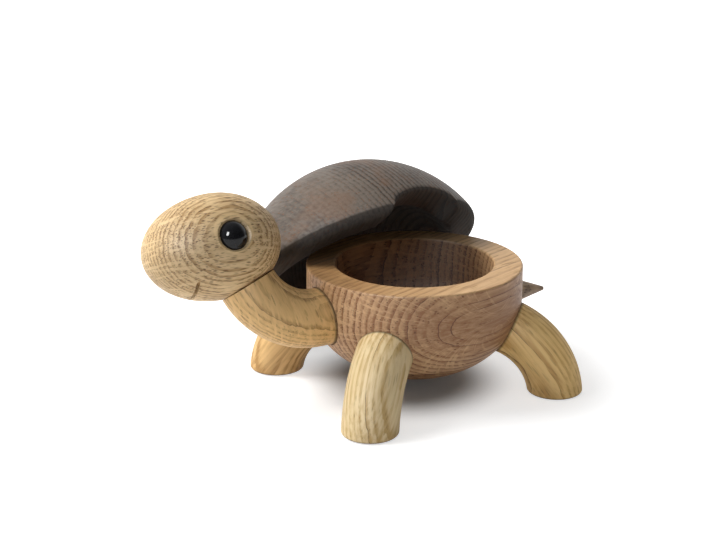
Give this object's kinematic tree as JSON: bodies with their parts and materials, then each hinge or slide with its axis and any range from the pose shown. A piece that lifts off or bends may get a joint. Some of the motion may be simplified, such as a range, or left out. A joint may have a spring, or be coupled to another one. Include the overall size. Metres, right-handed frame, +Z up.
{
  "type": "turtle figurine",
  "caption": "Turned-wood turtle figurine: a bowl body on bent legs, a neck and head that turn on dowels, a cone tail, and a domed shell that lifts off the bowl as its lid.",
  "frame": {"origin": "on the ground, under the axis of the bowl", "axes": "+X towards the head, +Y to the turtle's left, +Z up"},
  "size_m": [0.168, 0.1362, 0.0824],
  "materials": {
    "oak": "satin, oiled",
    "smoked_oak": "satin, smoked and oiled",
    "beech": "bare",
    "eye_black": "gloss"
  },
  "bodies": {
    "body": {"bowl": "oak", "front_left_leg": "oak", "front_right_leg": "oak", "rear_left_leg": "oak", "rear_right_leg": "oak", "tail": "smoked_oak", "front_left_leg_dowel": "beech", "front_right_leg_dowel": "beech", "rear_left_leg_dowel": "beech", "rear_right_leg_dowel": "beech"},
    "neck": {"neck": "oak", "neck_dowel": "beech", "head_dowel": "beech"},
    "head": {"head": "oak", "left_eye": "eye_black", "right_eye": "eye_black"},
    "shell": {"shell_lid": "smoked_oak"}
  },
  "joints": [
    {"name": "neck_turn", "type": "hinge", "parent": "body", "child": "neck", "pos_m": [0.0441, 0, 0.0334], "axis": [1, 0, 0], "range_deg": [-73, 17]},
    {"name": "head_turn", "type": "hinge", "parent": "neck", "child": "head", "pos_m": [0.06778, -0.00778, 0.04804], "axis": [0.342, -0.4412, 0.8297], "range_deg": [-45, 45]},
    {"name": "shell_lift", "type": "slide", "parent": "body", "child": "shell", "axis": [0.0291, -0.6674, 0.7441], "range_m": [0, 0.07]}
  ]
}
